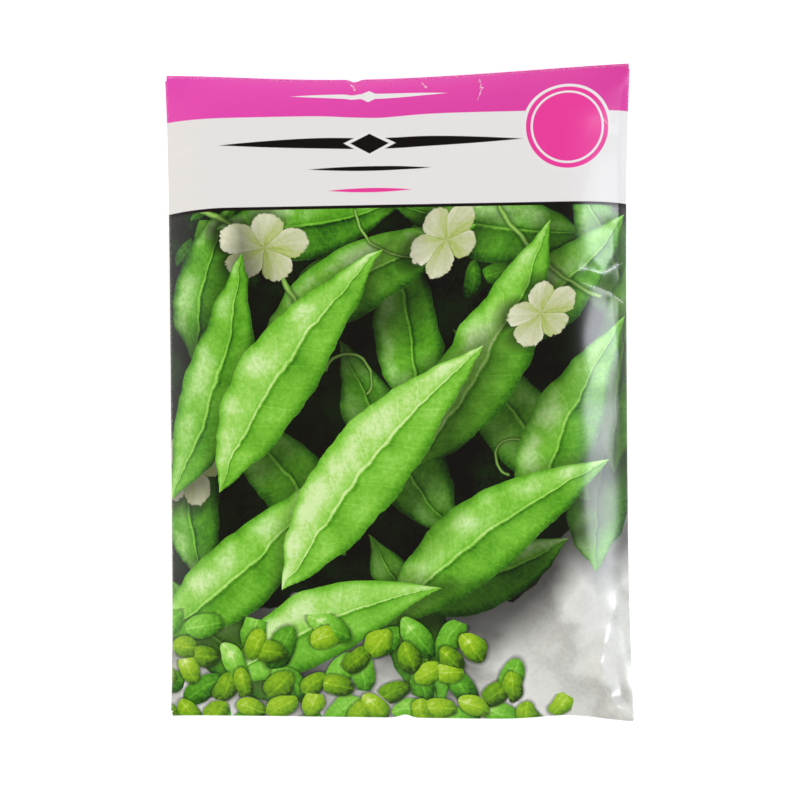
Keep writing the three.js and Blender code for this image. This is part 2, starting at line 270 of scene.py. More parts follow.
def place(x, y):
    """Carries points of the blank to (core point, outward direction, distance of the paper's middle).

    The front lies on the core. Past a fold line the direction turns through the fold from the front's
    normal to the back's, and past the fold's strip the flap lies on the back, one layer further out
    for each layer that it covers."""
    past_side, past_end = np.abs(x) - HALF_W, np.abs(y) - HALF_H
    is_side, is_end = past_side > 0, past_end > 0
    hand, end = np.sign(x), np.sign(y)
    past = np.where(is_side, past_side, np.where(is_end, past_end, 0.0))
    turn = np.clip(past / FOLD_STRIP, 0, 1)
    depth = np.maximum(past - FOLD_STRIP, 0)
    side_layer = np.where(hand > 0, RIGHT_LAYER, LEFT_LAYER)
    layer = np.where(is_side, side_layer, np.where(is_end, END_LAYER, 0))
    narrowing = 1 - FLAP_TAPER * depth / np.where(end > 0, TOP_FLAP, BOTTOM_FLAP) / EDGE_U
    u = np.where(is_side, hand * (HALF_W - depth), np.where(is_end, x * narrowing, x))
    v = np.where(is_end, end * (HALF_H - depth), y)
    corner = (past_side == 0) & (past_end == 0)
    u = np.where(corner, u + hand * CORNER_POINT, u)
    v = np.where(corner, v + end * CORNER_POINT, v)
    front, back = outward(u, v, np.ones_like(u)), outward(u, v, -np.ones_like(u))
    away = np.stack([hand * is_side, end * ~is_side, np.zeros_like(u)], axis=-1)
    start = np.arctan2(front[..., 2], np.sum(front * away, axis=-1))
    stop = np.arctan2(back[..., 2], np.sum(back * away, axis=-1))
    angle = start + (stop - start) * turn
    turned = away * np.cos(angle)[..., None] + np.array([0, 0, 1.0]) * np.sin(angle)[..., None]
    out = np.where((turn == 0)[..., None], front, np.where((turn == 1)[..., None], back, turned))
    on_back = np.where(turn == 1, -1.0, 1.0)
    return core(u, v, on_back), out, INSIDE + PAPER / 2 + turn * layer * LAYER


# ---- meshes ----


def add_object(name, mesh):
    """Puts a mesh into the scene as an object at the origin, shaded smooth."""
    mesh.polygons.foreach_set("use_smooth", np.ones(len(mesh.polygons), dtype=bool))
    mesh.update()
    obj = bpy.data.objects.new(name, mesh)
    bpy.context.scene.collection.objects.link(obj)
    return obj


def lines(stops, pitches):
    """Grid lines through all the stops, evenly spaced between each two and at most their pitch apart."""
    parts = []
    for low, high, pitch in zip(stops, stops[1:], pitches):
        parts.append(np.linspace(low, high, math.ceil((high - low) / pitch) + 1)[:-1])
    return np.concatenate(parts + [stops[-1:]])


def patch(xs, ys):
    """Corners of every cell between two sets of grid lines: an array of cells by 4 by (x, y)."""
    x0, y0 = np.meshgrid(xs[:-1], ys[:-1], indexing="ij")
    x1, y1 = np.meshgrid(xs[1:], ys[1:], indexing="ij")
    corners = [(x0, y0), (x1, y0), (x1, y1), (x0, y1)]
    return np.stack([np.stack([x.ravel(), y.ravel()], axis=-1) for x, y in corners], axis=1)


def blank_cells():
    """Every cell of the blank: the front's grid, finest where it is creased, and a grid for each flap.

    A flap shares the front's grid lines along its fold, and stops short of the corners."""
    fine, close, middling, coarse = 0.4, 0.5, 0.75, 1.3
    xs = lines(
        [-HALF_W, -EDGE_U, -38.0, -SEAM, SEAM, 28.0, EDGE_U, HALF_W],
        [fine, fine, middling, middling, middling, fine, fine],
    )
    ys = lines(
        [-HALF_H, -EDGE_V, -46.0, 7.0, 30.0, 49.0, EDGE_V, HALF_H],
        [fine, close, middling, close, middling, close, fine],
    )
    beside, above = ys[np.abs(ys) <= EDGE_V], xs[np.abs(xs) <= EDGE_U]
    strip = np.linspace(0, FOLD_STRIP, FOLD_STEPS + 1)

    def past(edge, length):
        """Grid lines outwards from a fold line: the fold's strip, then the flap."""
        flap = lines([FOLD_STRIP, FOLD_STRIP + length], [coarse])[1:]
        return np.sort(edge + math.copysign(1, edge) * np.concatenate([strip, flap]))

    grids = [
        (xs, ys),
        (past(HALF_W, HALF_W + SEAM), beside),
        (past(-HALF_W, HALF_W + SEAM), beside),
        (above, past(HALF_H, TOP_FLAP)),
        (above, past(-HALF_H, BOTTOM_FLAP)),
    ]
    return np.concatenate([patch(*grid) for grid in grids])


def paper_sheet(printed, bare):
    """The whole folded sheet: its outer and inner faces half a thickness each side of place(), and a rim.

    The rim closes every edge of the blank that only one cell has. The print's UV map is the blank."""
    corners = blank_cells().reshape(-1, 2)
    _, first, point_of = np.unique(np.round(corners, 4), axis=0, return_index=True, return_inverse=True)
    blank, quads = corners[first], point_of.reshape(-1, 4)
    at, out, distance = place(blank[:, 0], blank[:, 1])
    outer = at + out * (distance + PAPER / 2)[:, None]
    inner = at + out * (distance - PAPER / 2)[:, None]
    edges = np.concatenate([quads[:, [i, (i + 1) % 4]] for i in range(4)])
    _, first, times = np.unique(np.sort(edges, axis=1), axis=0, return_index=True, return_counts=True)
    rim = edges[first[times == 1]]
    count = len(blank)
    rims = np.stack([rim[:, 1], rim[:, 0], rim[:, 0] + count, rim[:, 1] + count], axis=1)
    faces = np.concatenate([quads, quads[:, ::-1] + count, rims])
    mesh = bpy.data.meshes.new("folded_sheet")
    mesh.from_pydata((np.concatenate([outer, inner]) * MM).tolist(), [], faces.tolist())
    mesh.materials.append(printed)
    mesh.materials.append(bare)
    is_bare = np.arange(len(faces)) >= len(quads)
    mesh.polygons.foreach_set("material_index", is_bare.astype(np.int32))
    print_uv = np.concatenate([blank, blank])[faces.ravel()] / UV_SCALE
    mesh.uv_layers.new(name="Print").data.foreach_set("uv", print_uv.astype(np.float32).ravel())
    return add_object("folded_sheet", mesh)


# The seeds: how many, and each one's form.
SEED_COLUMNS, SEED_ROWS = 7, 8
SEED_TURN_STEPS, SEED_RISE_STEPS = 36, 18  # facets round a seed, and from its foot to its head
SEED_SIZE = 0.975  # of its solid, at the most
WRINKLE_DEPTH, DIMPLE_DEPTH = 0.028, 0.10  # of the radius
GOLDEN_ANGLE = 2.399  # radians, by which each seed's wrinkles are shifted from the last one's


def seed(name, number, material):
    """An egg in its solid's box, with wrinkles made of sine products and a Gaussian dimple at one end."""
    low, high = (np.array(corner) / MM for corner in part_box(name))
    turn, climb = np.meshgrid(
        np.arange(SEED_TURN_STEPS) * math.tau / SEED_TURN_STEPS,
        np.linspace(-1, 1, SEED_RISE_STEPS + 1)[1:-1] * math.pi / 2,
    )
    ring = np.stack([np.cos(climb) * np.cos(turn), np.cos(climb) * np.sin(turn), np.sin(climb)], -1)
    unit = np.concatenate([ring.reshape(-1, 3), [[0, 0, -1.0], [0, 0, 1.0]]])
    a, b, c = unit.T
    phase = number * GOLDEN_ANGLE
    wrinkle = np.sin(5.2 * a + 3.1 * np.sin(2.6 * b + phase) + phase) * np.cos(4.4 * b + 2.2 * c - phase)
    dimple = np.exp(-((a - 0.95) ** 2 + b**2 * 3 + (c - 0.1) ** 2 * 3) * 6)
    radius = SEED_SIZE - WRINKLE_DEPTH * (1 + wrinkle) - DIMPLE_DEPTH * dimple
    points = (low + high) / 2 + unit * radius[:, None] * (high - low) / 2
    rows, columns = turn.shape
    index = np.arange(rows * columns).reshape(rows, columns)
    right = np.roll(index, -1, axis=1)
    foot, head = rows * columns, rows * columns + 1
    body = np.stack([index[:-1], right[:-1], right[1:], index[1:]], -1).reshape(-1, 4)
    foot_cap = np.stack([right[0], index[0], np.full(columns, foot)], -1)
    head_cap = np.stack([index[-1], right[-1], np.full(columns, head)], -1)
    mesh = bpy.data.meshes.new(name + "_fine")
    mesh.from_pydata((points * MM).tolist(), [], body.tolist() + foot_cap.tolist() + head_cap.tolist())
    mesh.materials.append(material)
    return add_object(name + "_fine", mesh)


# ---- shader recipes ----


def ink(code):
    """Linear colour from an sRGB code of six hex digits."""
    parts = [int(code[i : i + 2], 16) / 255 for i in (0, 2, 4)]
    return (*[p / 12.92 if p <= 0.04045 else ((p + 0.055) / 1.055) ** 2.4 for p in parts], 1.0)


class Value:
    """A socket that numbers or colours come out of. Python's operators on it add Math nodes."""

    def __init__(self, recipe, socket):
        self.recipe, self.socket = recipe, socket

    def math(self, operation, *others):
        sockets = dict(enumerate((self, *others)))
        return self.recipe.node("ShaderNodeMath", {"operation": operation}, sockets)

    def __add__(self, other):
        return self.math("ADD", other)

    def __sub__(self, other):
        return self.math("SUBTRACT", other)

    def __mul__(self, other):
        return self.math("MULTIPLY", other)

    def __truediv__(self, other):
        return self.math("DIVIDE", other)

    def __pow__(self, other):
        return self.math("POWER", other)

    def __rsub__(self, other):
        return self.recipe.node("ShaderNodeMath", {"operation": "SUBTRACT"}, {0: other, 1: self})

    def __neg__(self):
        return self * -1

    def __abs__(self):
        return self.math("ABSOLUTE")

    __radd__, __rmul__ = __add__, __mul__

    def line(self, scale, start):
        """The straight line scale * self + start."""
        return self.math("MULTIPLY_ADD", scale, start)

    def clamped(self):
        """Kept between 0 and 1. A node of its own, because a Math node's own clamp costs more memory."""
        return self.recipe.node("ShaderNodeClamp", {}, {0: self})

    def share(self, low, high):
        """The straight line through 0 at low and 1 at high; low may be the larger. Mixes clamp it."""
        scale = 1 / (high - low)
        return self.line(scale, -low * scale)

    def step(self, low, high):
        """0 below low, 1 above high, and a straight rise between them."""
        return self.share(low, high).clamped()


def weigh(start, *parts):
    """start plus each value times its own weight."""
    for value, weight in parts:
        start = value.line(weight, start)
    return start


class Recipe:
    """A material's node tree. node() makes any node; the rest are short names for common ones."""

    def __init__(self, name):
        self.material = bpy.data.materials.new(name)
        self.material.use_nodes = True
        self.tree = self.material.node_tree
        self.tree.nodes.clear()

    def node(self, kind, settings=None, values=None, output=0):
        """Adds a node, sets it up, then gives its sockets their values or links; returns one output."""
        made = self.tree.nodes.new(kind)
        for key, setting in (settings or {}).items():
            if key == "stops":
                self.set_stops(made.color_ramp, setting)
            else:
                setattr(made, key, setting)
        for key, value in (values or {}).items():
            if isinstance(value, Value):
                self.tree.links.new(value.socket, made.inputs[key])
            else:
                made.inputs[key].default_value = value
        return Value(self, made.outputs[output]) if len(made.outputs) else None

    @staticmethod
    def set_stops(ramp, stops):
        while len(ramp.elements) < len(stops):
            ramp.elements.new(1.0)
        for element, (position, colour) in zip(ramp.elements, stops):
            element.position, element.color = position, colour

    def also(self, value, output):
        """Another output of the node that value comes from."""
        return Value(self, value.socket.node.outputs[output])

    def split(self, vector):
        x = self.node("ShaderNodeSeparateXYZ", {}, {0: vector})
        return x, self.also(x, 1), self.also(x, 2)

    def join(self, x, y, z=0.0):
        return self.node("ShaderNodeCombineXYZ", {}, {0: x, 1: y, 2: z})

    def mix(self, under, over, share):
        """A mix of two colours."""
        return self.node("ShaderNodeMix", {"data_type": "RGBA"}, {0: share, 6: under, 7: over}, output=2)

    def choose(self, under, over, share):
        """A mix of two vectors."""
        return self.node("ShaderNodeMix", {"data_type": "VECTOR"}, {0: share, 4: under, 5: over}, output=1)

    def blend(self, under, over, share):
        """A mix of two numbers."""
        return self.node("ShaderNodeMix", {"data_type": "FLOAT"}, {0: share, 2: under, 3: over})

    def vector(self, operation, *others, output=0):
        settings = {"operation": operation}
        return self.node("ShaderNodeVectorMath", settings, dict(enumerate(others)), output)

    def dot(self, first, second):
        return self.vector("DOT_PRODUCT", first, second, output=1)

    def local(self, here, middle, turn, scale, lift=0.0):
        """Coordinates centred on middle, turned by degrees and divided by scale, the second one plus lift.

        here holds x, y and 1, so each coordinate is one dot product."""
        c, s = math.cos(math.radians(turn)), math.sin(math.radians(turn))
        (x, y), (long, broad) = middle, scale
        first = (c / long, s / long, -(c * x + s * y) / long)
        second = (-s / broad, c / broad, (s * x - c * y) / broad + lift)
        return self.dot(here, first), self.dot(here, second)

    def colour_parts(self, colour):
        red = self.node("ShaderNodeSeparateColor", {}, {0: colour})
        return red, self.also(red, 1), self.also(red, 2)

    def ramp(self, value, stops):
        return self.node("ShaderNodeValToRGB", {"stops": stops}, {0: value})

    def noise(self, at, scale, detail=2.0, rough=0.5, dimensions="3D"):
        values = {"Vector": at, "Scale": scale, "Detail": detail, "Roughness": rough}
        return self.node("ShaderNodeTexNoise", {"noise_dimensions": dimensions}, values)

    def place_on_piece(self):
        """Object coordinates: where a point lies on its piece, in metres."""
        return self.node("ShaderNodeTexCoord", {}, {}, output=3)

    def finish(self, colour, roughness, height, bump, **constants):
        """The one Principled shader. bump is the height's depth in millimetres, and constants are the
        shader's other sockets, by name with _ for a space."""
        values = {"Base Color": colour, "Roughness": roughness}
        values.update({key.replace("_", " "): value for key, value in constants.items()})
        lumps = {"Height": height, "Strength": 1.0, "Distance": bump * MM}
        values["Normal"] = self.node("ShaderNodeBump", {}, lumps)
        shader = self.node("ShaderNodeBsdfPrincipled", {}, values)
        self.node("ShaderNodeOutputMaterial", {}, {"Surface": shader})
        return self.material


# ---- the print, in millimetres over the blank ----

BAND_FOOT = 49.0  # where the coloured band at the top ends
TITLE_FOOT = 33.2  # where the white band ends and the picture begins
RULE = 0.55  # thickness of the black rule between them
SIDE_BLEED, BLEED_EDGE = 3.2, 0.1  # how far the front's print runs on round a fold, and how soft it stops
BAND_SOFT, RULE_SOFT = 0.05, 0.04  # half the softness of their printed edges
UV_SCALE = 100.0  # millimetres of blank to one unit of the print's UV map
COAT_ON_PICTURE, COAT_ON_HEADER = 0.90, 0.10  # how much varnish the inked picture and the header carry

PINK, PINK_DEEP, DISC_PINK = ink("EE4FBE"), ink("D93F9C"), ink("EC3E9E")
WHITE_PAPER, WHITE_SHADE, WORN_WHITE = ink("EAE8E9"), ink("DBD9DA"), ink("F4F1EE")
BLACK = ink("15100E")
GAP, GAP_GREEN = ink("0C0703"), ink("183408")
BLADE_STOPS = [
    (0.00, ink("0F2404")),
    (0.22, ink("2E6A0A")),
    (0.45, ink("58A21A")),
    (0.66, ink("7DC638")),
    (0.84, ink("A3DE62")),
    (1.00, ink("D3F2A0")),
]
YOUNG_STOPS = [(0.1, ink("244203")), (0.4, ink("6BA008")), (0.7, ink("A3CC1E")), (1.0, ink("E4F39A"))]
PETAL_STOPS = [
    (0.05, ink("6F8A2E")),
    (0.25, ink("AEC066")),
    (0.50, ink("C9CDA4")),
    (0.80, ink("E6E6CC")),
    (1.00, ink("F6F6EC")),
]
CLOTH_STOPS = [(0.2, ink("B4B3AE")), (0.5, ink("D8D9D4")), (0.85, ink("EFEFEB"))]
SHEEN = ink("E4FBC8")
STALK_DARK, STALK_LIGHT = ink("3C7018"), ink("9CCB5E")
LIGHT_WAY = (-0.6, 0.8)  # where the picture's own light comes from, over the front

# The picture's leaves, the lowest first: middle, turn in degrees, length, breadth, bend, and lightness
# in tenths. The upper ones lie over the first blossoms.
LOWER_LEAVES = [
    ((-33, 20), 75, 30, 12, 0.15, 2),
    ((-14, 31), 8, 34, 12, -0.15, 2),
    ((16, 30), 170, 34, 12, 0.12, 2),
    ((37, 24), 110, 30, 12, -0.2, 3),
    ((-37, -16), 95, 34, 12, 0.15, 2),
    ((37, -14), 80, 34, 12, 0.15, 3),
    ((40.5, 6), 84, 40, 11, 0.1, 3),
    ((0, -8), 120, 40, 13, 0.12, 2),
    ((-20, -14), 130, 36, 12, -0.1, 3),
    ((22, -4), 128, 38, 13, 0.1, 3),
    ((-30, -44), 140, 34, 12, 0.1, 3),
    ((2, -40), 110, 34, 12, -0.15, 3),
    ((3, 12), 98, 34, 11.5, 0.15, 3),
    ((15, -31), 18, 34, 11.5, -0.15, 3),
    ((-5, 20), 28, 44, 12, 0.16, 4),
    ((28, 19), 40, 36, 12, -0.18, 4),
]
UPPER_LEAVES = [
    ((-33, 3), 72, 46, 12.5, -0.22, 4),
    ((31, -6), 66, 44, 12.5, 0.20, 4),
    ((16, 8), 60, 50, 13.5, -0.18, 5),
    ((-18, 5), 55, 52, 13.5, 0.20, 6),
    ((-27, -29), 42, 46, 13, -0.20, 5),
    ((17, -25), 36, 50, 13.5, 0.20, 5),
    ((-3, -12), 50, 56, 14.5, 0.18, 7),
    ((-12, -41), 24, 42, 12.5, 0.22, 6),
]
# Blossoms: middle, turn in degrees, radius, and how narrow they look from the side.
LOWER_BLOSSOMS = [((-23, 26), 10, 8.5, 0.85), ((9, 27), 50, 7.8, 0.78), ((-37, -12), 75, 8.5, 0.85)]
UPPER_BLOSSOMS = [((26, 14), 30, 7.0, 0.82)]
# Stalks and tendrils: centre and radius of the arc, where it starts and stops in degrees, and thickness.
STALKS = [
    ((-42, 8), 26, 5, 78, 0.9),
    ((47, 46), 31, 188, 250, 0.8),
    ((3, 34), 10, 190, 330, 0.5),
    ((21, -11), 3.2, 20, 250, 0.5),
    ((-8, 3), 4.2, -40, 160, 0.5),
]
# Beds of small leaves, told by (way, edge): they lie where way times the height is over edge. Then the
# mosaic's pitch and shift, a leaf's length and breadth as shares of the pitch, its inks and darkest tone.
BACK_LEAFLETS = ((1, 21), 6.5, (3, 1), (0.50, 0.26), BLADE_STOPS, 0.20)
FOOT_LEAFLETS = ((-1, 43.5), 7.5, (0, 0), (0.50, 0.30), BLADE_STOPS, 0.40)
YOUNG_LEAFLETS = ((-1, 44.0), 6.0, (41, 23), (0.44, 0.34), YOUNG_STOPS, 0.34)
BED_EDGE_STRAY = 5.0  # how far a bed's edge strays by chance
BED_FALL, BED_FALL_START = 1.3, 22.0  # a bed's edge falls by 1.3 x - 22 to the right, where that is over 0

LEAF_SPREAD = 1.3  # the outline's own scale, so that its slanting factor stays between 0 and 1
LEAF_EDGE = 0.05  # softness of a leaf's edge
LEAF_SHADOW_SLANT, LEAF_SHADOW_NEAR, LEAF_SHADOW_FAR = 0.35, 0.05, -0.62  # in the measure of off
FACING_SPREAD = 0.45  # how far a leaf's turn to the light moves the fraction that carries it


def leaf_reach(t, q):
    """How far the outline lies to each side: (1 - t^2)(0.77 - 0.23 t), and under 0 past both ends."""
    return (1 - q) * t.line(-0.23, 0.77).clamped()


def lay_leaf(r, here, top, light, middle, turn, length, breadth, bend, tenths):
    """Lays one leaf over those before it, keeping for each point only the topmost leaf's coordinates.

    t runs from -1 at the stalk to 1 at the tip, and off is the distance from a midrib bent by a
    parabola. top holds t, off and a key whose whole part is the lightness and whose fraction says
    how far the half at off > 0 faces the light. light is 1 on the leaf and falls in its shadow."""
    half = breadth / 2 * LEAF_SPREAD
    t, side = r.local(here, middle, turn, (length / 2, half), -bend / LEAF_SPREAD)
    q = t * t
    off = q.line(2 * bend / LEAF_SPREAD, side)
    gap = leaf_reach(t, q) - abs(off)
    inside = gap.share(0.0, LEAF_EDGE / half)
    clear = off.line(-LEAF_SHADOW_SLANT, gap).share(LEAF_SHADOW_NEAR, LEAF_SHADOW_FAR)
    light = r.blend(r.blend(0.0, light, clear), 1.0, inside)
    angle = math.radians(turn)
    facing = -math.sin(angle) * LIGHT_WAY[0] + math.cos(angle) * LIGHT_WAY[1]
    key = tenths + 0.5 + FACING_SPREAD * facing
    return r.choose(top, r.join(t, off, key), inside), light


def blades(r, top, grain, blotch):
    """Colours the laid leaves: two halves lit apart, swellings between the veins, midrib, rim and sheen.

    The tone is a weighted sum of them all, and the ramp turns it into ink."""
    t, off, key = r.split(top)
    c = off / leaf_reach(t, t * t).math("MAXIMUM", 0.00001)
    off = abs(c)
    tenths = key.math("FLOOR")
    facing = (key - tenths).line(1 / FACING_SPREAD, -0.5 / FACING_SPREAD)
    facing = facing * r.blend(-1.0, 1.0, c.share(-0.10, 0.10))
    hump = 4 * off * (1 - off)
    wave = t.line(6.5, blotch.line(0.5, -off)).math("PINGPONG", 0.5)
    tone = weigh(-0.24, (tenths, 0.072), (blotch, 0.45), (grain, 0.34))
    tone = weigh(tone, (wave, 0.10), (hump, 0.13), (facing, 0.13))
    rim, vein = off.step(0.72, 1.0), wave.step(0.05, 0.0)
    tone = weigh(tone, (vein, 0.10), (rim, -0.22))
    midrib = c.step(0.055, 0.02) * c.step(-0.05, -0.02)
    tone = midrib.line(0.30, tone)
    groove = c.step(-0.16, -0.07) * c.step(-0.03, -0.06)
    blade = r.ramp(groove.line(-0.16, tone), BLADE_STOPS)
    sheen = (facing.line(0.5, 0.5).clamped() * hump) ** 2 * blotch.step(0.44, 0.64) * grain.step(0.1, 0.8)
    return r.mix(blade, SHEEN, sheen * 0.7)


def lay_leaves(r, picture, here, grain, blotch, leaves):
    """Lays a list of leaves over the picture, their shadows on it and on each other."""
    top, light = (0.0, 0.0, -1.0), 1.0  # a key under 0 is a place with no leaf yet
    for leaf in leaves:
        top, light = lay_leaf(r, here, top, light, *leaf)
    blade = blades(r, top, grain, blotch)
    covered = r.mix(picture, blade, r.split(top)[2].share(-0.8, -0.6))
    return r.mix(GAP, covered, light.line(0.74, 0.26))


def blossoms(r, picture, here, grain, flowers):
    """Paints five-petalled flowers. For each point only the nearest flower's own coordinates are kept.

    A petal's outline is a power of |cos(2.5 angle)|, and pleats and rays are sines of the angle."""
    nearest = (0.0, 9.0, 0.0)
    for middle, turn, radius, squash in flowers:
        x, y = r.local(here, middle, turn, (radius, radius * squash))
        near = y.line(y, x * x).math("LESS_THAN", 1.7)
        nearest = r.choose(nearest, r.join(x, y, radius), near)
    x, y, phase = r.split(nearest)
    angle = y.math("ARCTAN2", x)
    far = y.line(y, x * x).math("SQRT")
    lobe = abs((angle * 2.5).math("COSINE"))
    lap = angle.line(2.5 / math.pi, 0.5).math("FRACT")
    uneven = (angle * 2 + phase).math("SINE")
    gap = weigh(0.50, (lobe**0.6, 0.36), (grain, 0.14), (uneven, 0.08)) - far
    dimmed = r.mix(picture, GAP, weigh(gap, (x, -0.12), (y, 0.14)).step(-0.26, 0.08) * 0.75)
    ray = angle.line(29, far * 4).math("SINE")
    pleat = angle.line(10, far * 3).math("SINE")
    tone = weigh(-0.02, (grain, 0.3), (pleat, 0.05), (ray, 0.03), (lap, 0.26), (far, 0.42))
    tone = weigh(tone, (y, 0.10), (x, -0.08))
    seam, edge = lap.step(0.10, 0.0), gap.step(0.10, 0.0)
    tone = weigh(tone, (seam, -0.16), (edge, -0.08))
    return r.mix(dimmed, r.ramp(tone, PETAL_STOPS), gap.share(0, 0.03))


def leaflets(r, picture, here, grain, bed):
    """Scatters a bed of small oval leaves, one to each cell of a random mosaic, each turned its own way."""
    (way, edge), pitch, shift, (length, breadth), stops, dark = bed
    moved = r.vector("ADD", here, (*shift, 0.0))
    values = {"Vector": moved, "Scale": 1 / pitch, "Randomness": 0.75}
    chance = r.node("ShaderNodeTexVoronoi", {"voronoi_dimensions": "2D"}, values, output=1)
    middle = r.also(chance, 2)
    own = r.vector("SUBTRACT", moved, middle)
    turn, other, _ = r.colour_parts(chance)
    middle_x, middle_y, _ = r.split(middle)
    level = middle_y.line(way, -way * shift[1] - edge) + other * BED_EDGE_STRAY
    fall = middle_x.line(BED_FALL, -BED_FALL * shift[0] - BED_FALL_START).math("MAXIMUM", 0.0)
    where = (level - fall).step(0.0, 0.01)
    angle = {"Vector": own, "Angle": turn * math.tau}
    t, side, _ = r.split(r.node("ShaderNodeVectorRotate", {"rotation_type": "Z_AXIS"}, angle))
    t, side = t / (pitch * length), side / (pitch * breadth)
    far = (t * t).line(0.75, side * side)
    inside = far.step(1.0, 0.9) * where
    dimmed = r.mix(picture, GAP, far.step(1.45, 0.85) * where * 0.8)
    lit = r.dot(own, (*LIGHT_WAY, 0)) / pitch
    tone = weigh(dark - 0.25, (other, 0.34), (lit, 0.625), (grain, 0.5), (far, -0.22))
    midrib = abs(side).step(0.10, 0.03)
    glint = lit.step(0.16, 0.26) * far.step(0.45, 0.2)
    tone = weigh(tone, (midrib, 0.12), (glint, 0.25))
    return r.mix(dimmed, r.ramp(tone, stops), inside)


def stalks(r, picture, here, arcs):
    """Draws arcs of circles, each from a start to a stop angle, with a soft shadow about them."""
    near = 9.0  # distance to the nearest one, in half thicknesses
    for centre, radius, start, stop, width in arcs:
        x, y = r.local(here, centre, (start + stop) / 2, (width / 2, width / 2))
        off = abs(y.line(y, x * x).math("SQRT") - 2 * radius / width)
        past = abs(y.math("ARCTAN2", x)) - math.radians(stop - start) / 2
        near = off.math("MAXIMUM", past * 2 * radius / width).math("MINIMUM", near)
    dimmed = r.mix(picture, GAP, near.step(2.4, 0.8) * 0.6)
    tint = r.mix(STALK_LIGHT, STALK_DARK, near.share(0.1, 1.0))
    return r.mix(dimmed, tint, near.share(1.1, 0.9))


def cloth(r, x, y, blotch, grain):
    """A pale cloth in slanting folds, each a sine."""
    fold = (x * 0.34 + y * 0.20 + blotch * 8).math("SINE")
    return r.ramp(fold * 0.14 + blotch * 0.4 + grain * 0.3 + 0.14, CLOTH_STOPS)


def picture_of_leaves(r, here, x, y, grain):
    """The picture on the front: dark gaps, a cloth at one corner, large leaves, blossoms and small leaves.

    It is read at places moved about by the noise, so that no outline is quite smooth."""
    blotch = r.noise(here, 0.14, 2.0, 0.5, "2D")
    ragged = r.vector("ADD", here, r.join(blotch.line(2.4, -1.2), grain.line(0.3, -0.15)))
    deep = r.mix(GAP, GAP_GREEN, (blotch * 0.6 + grain * 0.4).share(0.40, 0.60))
    deep = leaflets(r, deep, ragged, grain, BACK_LEAFLETS)
    laid = cloth(r, x, y, blotch, grain)
    low_right = x * 0.78 - y * 0.62 + blotch * 3
    low = (-y + blotch * 7).math("MAXIMUM", low_right)
    deep = r.mix(deep, laid, low.share(40.0, 40.3))
    picture = lay_leaves(r, deep, ragged, grain, blotch, LOWER_LEAVES)
    picture = stalks(r, picture, ragged, STALKS)
    picture = blossoms(r, picture, ragged, grain, LOWER_BLOSSOMS)
    picture = lay_leaves(r, picture, ragged, grain, blotch, UPPER_LEAVES)
    picture = blossoms(r, picture, ragged, grain, UPPER_BLOSSOMS)
    picture = leaflets(r, picture, ragged, grain, FOOT_LEAFLETS)
    return leaflets(r, picture, ragged, grain, YOUNG_LEAFLETS)


def swelled_rule(r, sheet, x, y, middle, half_length, half_height, colour):
    """A printer's rule, thickest at its middle and tapering as 1 - t^2 to both ends."""
    t = (x - middle[0]) / half_length
    body = (t * t).line(-half_height, half_height) - abs(y - middle[1])
    return r.mix(sheet, colour, body.share(-0.03, 0.05))


def diamond(r, sheet, x, y, middle, half_length, half_height, colour):
    """A lozenge where |x| / half_length + |y| / half_height stays under 1."""
    far = abs((x - middle[0]) / half_length) + abs((y - middle[1]) / half_height)
    return r.mix(sheet, colour, far.share(1.03, 0.97))


# The header's plain marks: what each is, its middle, half its length, half its height, its ink.
HEADER_MARKS = [
    (swelled_rule, (-4.3, 53.1), 14.0, 0.55, WHITE_PAPER),
    (diamond, (-4.3, 53.1), 2.2, 1.2, WHITE_PAPER),
    (swelled_rule, (-4.0, 44.2), 27.0, 1.05, BLACK),
    (diamond, (-4.0, 44.2), 4.6, 2.5, WHITE_PAPER),
    (diamond, (-4.0, 44.2), 3.4, 1.9, BLACK),
    (swelled_rule, (-4.0, 39.6), 11.0, 0.42, BLACK),
    (swelled_rule, (-4.0, 35.8), 7.5, 0.38, DISC_PINK),
]
DISC_AT, DISC_RADIUS, DISC_RING = (30.6, 46.2), 7.2, 6.2
DISC_MARGIN, DISC_RING_HALF = 0.55, 0.20  # the white border outside the disc, and the ring's half width


def header(r, x, y, fine):
    """The coloured band and the white one, with plain rules, lozenges and one plain disc."""
    band = r.mix(PINK_DEEP, PINK, fine.line(0.3, 0.30) - x * 0.007)
    white = r.mix(WHITE_PAPER, WHITE_SHADE, fine * 0.3)
    sheet = r.mix(white, band, y.share(BAND_FOOT - BAND_SOFT, BAND_FOOT + BAND_SOFT))
    for shape, middle, half_length, half_height, colour in HEADER_MARKS:
        sheet = shape(r, sheet, x, y, middle, half_length, half_height, colour)
    dx, dy = x - DISC_AT[0], y - DISC_AT[1]
    far = (dx * dx + dy * dy).math("SQRT")
    border = DISC_RADIUS + DISC_MARGIN
    sheet = r.mix(sheet, WHITE_PAPER, far.share(border + BAND_SOFT, border - BAND_SOFT))
    sheet = r.mix(sheet, DISC_PINK, far.share(DISC_RADIUS + BAND_SOFT, DISC_RADIUS - BAND_SOFT))
    ring = abs(far - DISC_RING).share(DISC_RING_HALF + RULE_SOFT, DISC_RING_HALF - RULE_SOFT)
    return r.mix(sheet, WHITE_PAPER, ring)


